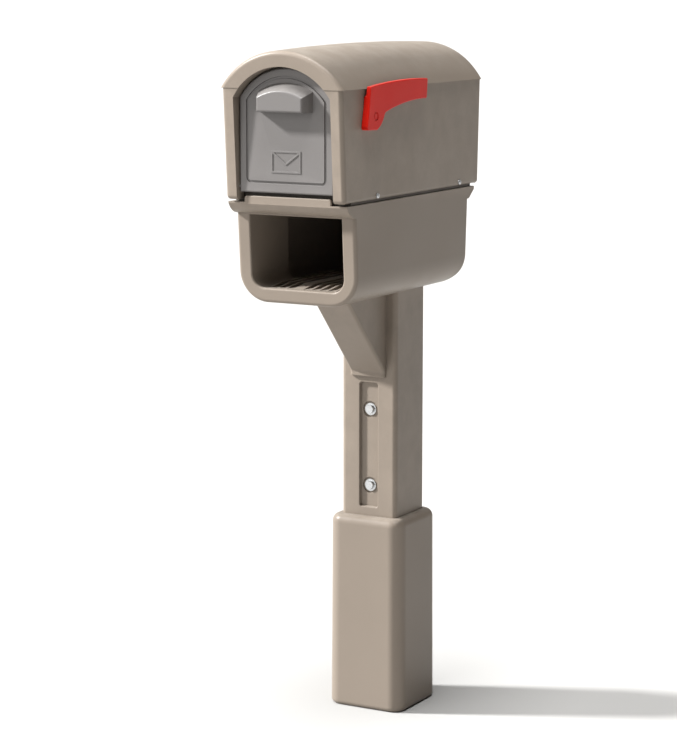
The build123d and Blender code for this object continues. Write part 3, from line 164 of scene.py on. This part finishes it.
# ------------------------------------------------------------------ materials
def moulded_plastic(name, colour, rough, grain=0.35, dust=0.18, specular=0.5, mottling=0.022):
    """Moulded plastic: fine stipple, faint flow marks, dust on upward faces, rubbed edges."""
    material, tree, shader = principled(name)
    shader.inputs["Specular IOR Level"].default_value = specular
    coords = object_coords(tree)

    clouds = noise(tree, coords, CLOUD_SCALE, CLOUD_DETAIL)
    blotches = noise(tree, coords, BLOTCH_SCALE, rough=BLOTCH_ROUGH)
    specks = noise(tree, coords, SPECK_SCALE, SPECK_DETAIL, SPECK_ROUGH)
    stipple = noise(tree, coords, STIPPLE_SCALE, STIPPLE_DETAIL, STIPPLE_ROUGH)

    # Pigment that isn't mixed quite evenly.
    pale = tinted(colour, 1.0 + mottling)
    base = mix_colour(
        tree, ramp(tree, clouds, (0.35, 0.65)), tinted(colour, 1.0 - mottling), pale
    )
    base = mix_colour(tree, ramp(tree, blotches, (0.3, 0.7), (0.0, 0.35)), base, pale)
    for span, tint in (((0.60, 0.78), PALE_SPECK_TINT), ((0.40, 0.24), DARK_SPECK_TINT)):
        amount = ramp(tree, specks, span, (0.0, 0.30))
        base = mix_colour(tree, amount, base, tinted(colour, tint))

    # Rubbed, slightly paler edges.
    patches = ramp(tree, blotches, (0.35, 0.7), (0.15, 0.6))
    rubbed = math_node(tree, "MULTIPLY", edge_wear(tree, (0.515, 0.60)), patches)
    base = mix_colour(tree, rubbed, base, tinted(colour, RUBBED_EDGE_TINT))

    # Dust that has settled on what faces upwards.
    geometry = tree.nodes.new("ShaderNodeNewGeometry")
    split = tree.nodes.new("ShaderNodeSeparateXYZ")
    link(tree, geometry.outputs["Normal"], split.inputs[0])
    upward = ramp(tree, split.outputs["Z"], (0.55, 1.0))
    settled = ramp(tree, blotches, (0.40, 0.72), (0.05, dust))
    dusty = math_node(tree, "MULTIPLY", upward, settled)
    base = mix_colour(tree, dusty, base, DUST_COLOUR)
    link(tree, base, shader.inputs["Base Color"])

    # The gloss drifts with the clouds and is duller in dust.
    gloss = ramp(tree, clouds, (0.3, 0.7), (rough - 0.05, rough + 0.06))
    gloss = math_node(tree, "ADD", gloss, ramp(tree, specks, (0.3, 0.7), (-0.05, 0.05)))
    dust_dullness = math_node(tree, "MULTIPLY", dusty, 0.25)
    gloss = math_node(tree, "ADD", gloss, dust_dullness, clamp=True)
    link(tree, gloss, shader.inputs["Roughness"])

    soft = tree.nodes.new("ShaderNodeBevel")
    soft.samples = SOFT_EDGE_SAMPLES
    soft.inputs["Radius"].default_value = SOFT_EDGE_RADIUS
    flow = noise(tree, coords, WAVE_SCALE, WAVE_DETAIL)
    waves = bump(tree, flow, WAVE_STRENGTH, WAVE_HEIGHT, soft.outputs["Normal"])
    link(tree, bump(tree, stipple, grain, STIPPLE_HEIGHT, waves), shader.inputs["Normal"])
    return material


def zinc_steel(name):
    """Zinc-plated steel: spangled and finely scratched, with patches of a duller film."""
    material, tree, shader = principled(name)
    shader.inputs["Metallic"].default_value = 1.0
    coords = object_coords(tree)

    cells = tree.nodes.new("ShaderNodeTexVoronoi")
    cells.inputs["Scale"].default_value = SPANGLE_SCALE
    link(tree, coords, cells.inputs["Vector"])
    film = noise(tree, coords, FILM_SCALE)

    base = mix_colour(
        tree,
        ramp(tree, cells.outputs["Color"], (0.0, 1.0), (0.0, 0.5)),
        tinted(ZINC_COLOUR, DARK_SPANGLE_TINT),
        tinted(ZINC_COLOUR, PALE_SPANGLE_TINT),
    )
    base = mix_colour(tree, ramp(tree, film, (0.5, 0.72), (0.0, 0.5)), base, FILM_COLOUR)
    link(tree, base, shader.inputs["Base Color"])

    gloss = ramp(tree, film, (0.3, 0.7), (ZINC_ROUGH - 0.06, ZINC_ROUGH + 0.16))
    link(tree, gloss, shader.inputs["Roughness"])
    scratches = noise(tree, coords, SCRATCH_SCALE, SCRATCH_DETAIL)
    relief = bump(tree, scratches, SCRATCH_STRENGTH, SCRATCH_HEIGHT)
    link(tree, relief, shader.inputs["Normal"])
    return material


def ferrite(name):
    """Sintered ferrite: nearly black, grainy, with paler chipped edges."""
    material, tree, shader = principled(name)
    shader.inputs["Metallic"].default_value = FERRITE_METALLIC
    grains = noise(tree, object_coords(tree), GRAIN_SCALE, GRAIN_DETAIL, GRAIN_ROUGH)

    base = mix_colour(tree, ramp(tree, grains, (0.35, 0.7)), FERRITE_DARK, FERRITE_PALE)
    base = mix_colour(tree, edge_wear(tree, (0.53, 0.62)), base, FERRITE_CHIP)
    link(tree, base, shader.inputs["Base Color"])
    link(tree, ramp(tree, grains, (0.3, 0.7), (0.42, 0.68)), shader.inputs["Roughness"])
    link(tree, bump(tree, grains, GRAIN_STRENGTH, GRAIN_HEIGHT), shader.inputs["Normal"])
    return material


def studio_floor(name):
    """Pale, dull, even floor."""
    material, _, shader = principled(name)
    shader.inputs["Base Color"].default_value = FLOOR_COLOUR
    shader.inputs["Roughness"].default_value = FLOOR_ROUGH
    shader.inputs["Specular IOR Level"].default_value = FLOOR_SPECULAR
    return material


TAUPE = moulded_plastic(
    "taupe_moulded", (0.202, 0.169, 0.138), rough=0.38, specular=0.20, mottling=0.012
)
GREY = moulded_plastic(
    "door_grey_moulded", (0.132, 0.124, 0.120), rough=0.40, specular=0.35, mottling=0.012
)
DARK = moulded_plastic("inner_dark_moulded", (0.070, 0.058, 0.047), rough=0.62, dust=0.35)
RED = moulded_plastic(
    "flag_red_moulded", (0.54, 0.012, 0.006), rough=0.34, grain=0.25, dust=0.10, specular=0.12
)
ZINC = zinc_steel("zinc_plate")
FERRITE = ferrite("ferrite_block")

# Every node that isn't named here is a steel fixing.
FINISH = {
    "base_sleeve": TAUPE,
    "post_column": TAUPE,
    "support_brace": TAUPE,
    "newspaper_box": TAUPE,
    "newspaper_tray": TAUPE,
    "hood_shell": TAUPE,
    "mailbox_floor": DARK,
    "catch_housing": DARK,
    "flag_washer": DARK,
    "mail_door": GREY,
    "mail_flag": RED,
    "flag_pivot_pin": RED,
    "catch_magnet": FERRITE,
}

for node_name, node in NODES.items():
    node.data.materials.clear()
    node.data.materials.append(FINISH.get(node_name, ZINC))


# ------------------------------------------------------------------ studio
def make_floor():
    mesh = bpy.data.meshes.new("studio_floor")
    shape = bmesh.new()
    bmesh.ops.create_grid(
        shape, x_segments=FLOOR_SEGMENTS, y_segments=FLOOR_SEGMENTS, size=FLOOR_SIZE
    )
    shape.to_mesh(mesh)
    shape.free()
    floor = bpy.data.objects.new("studio_floor", mesh)
    bpy.context.scene.collection.objects.link(floor)
    mesh.materials.append(studio_floor("studio_floor"))


def make_world():
    """Pale surround, brighter on the left and dim on the right, as with softboxes on one side."""
    world = bpy.data.worlds.new("studio")
    bpy.context.scene.world = world
    world.use_nodes = True
    tree = world.node_tree
    background = tree.nodes["Background"]
    coords = tree.nodes.new("ShaderNodeTexCoord").outputs["Generated"]
    split = tree.nodes.new("ShaderNodeSeparateXYZ")
    link(tree, coords, split.inputs[0])
    strength = ramp(tree, split.outputs["X"], WORLD_SPAN, WORLD_STRENGTHS)
    background.inputs["Color"].default_value = WORLD_COLOUR
    link(tree, strength, background.inputs["Strength"])


def facing(direction):
    """The turn that points a lamp's or camera's view along direction."""
    return Vector(direction).to_track_quat("-Z", "Y").to_euler()


def make_sun(name, travel, strength, spread_degrees):
    light = bpy.data.lights.new(name, "SUN")
    light.energy = strength
    light.angle = math.radians(spread_degrees)
    lamp = bpy.data.objects.new(name, light)
    lamp.rotation_euler = facing(travel)
    bpy.context.scene.collection.objects.link(lamp)


def make_camera():
    lens = bpy.data.cameras.new("photo_view")
    lens.sensor_fit = "AUTO"
    lens.sensor_width = SENSOR_MM
    lens.lens = LENS_MM
    lens.clip_end = CLIP_END
    camera = bpy.data.objects.new("photo_view", lens)
    camera.location = CAMERA_PLACE
    camera.rotation_euler = facing(Vector(CAMERA_AIM) - Vector(CAMERA_PLACE))
    bpy.context.scene.collection.objects.link(camera)
    bpy.context.scene.camera = camera


make_floor()
make_world()
for sun in SUNS:
    make_sun(*sun)
make_camera()

bpy.context.scene.view_settings.view_transform = "Standard"
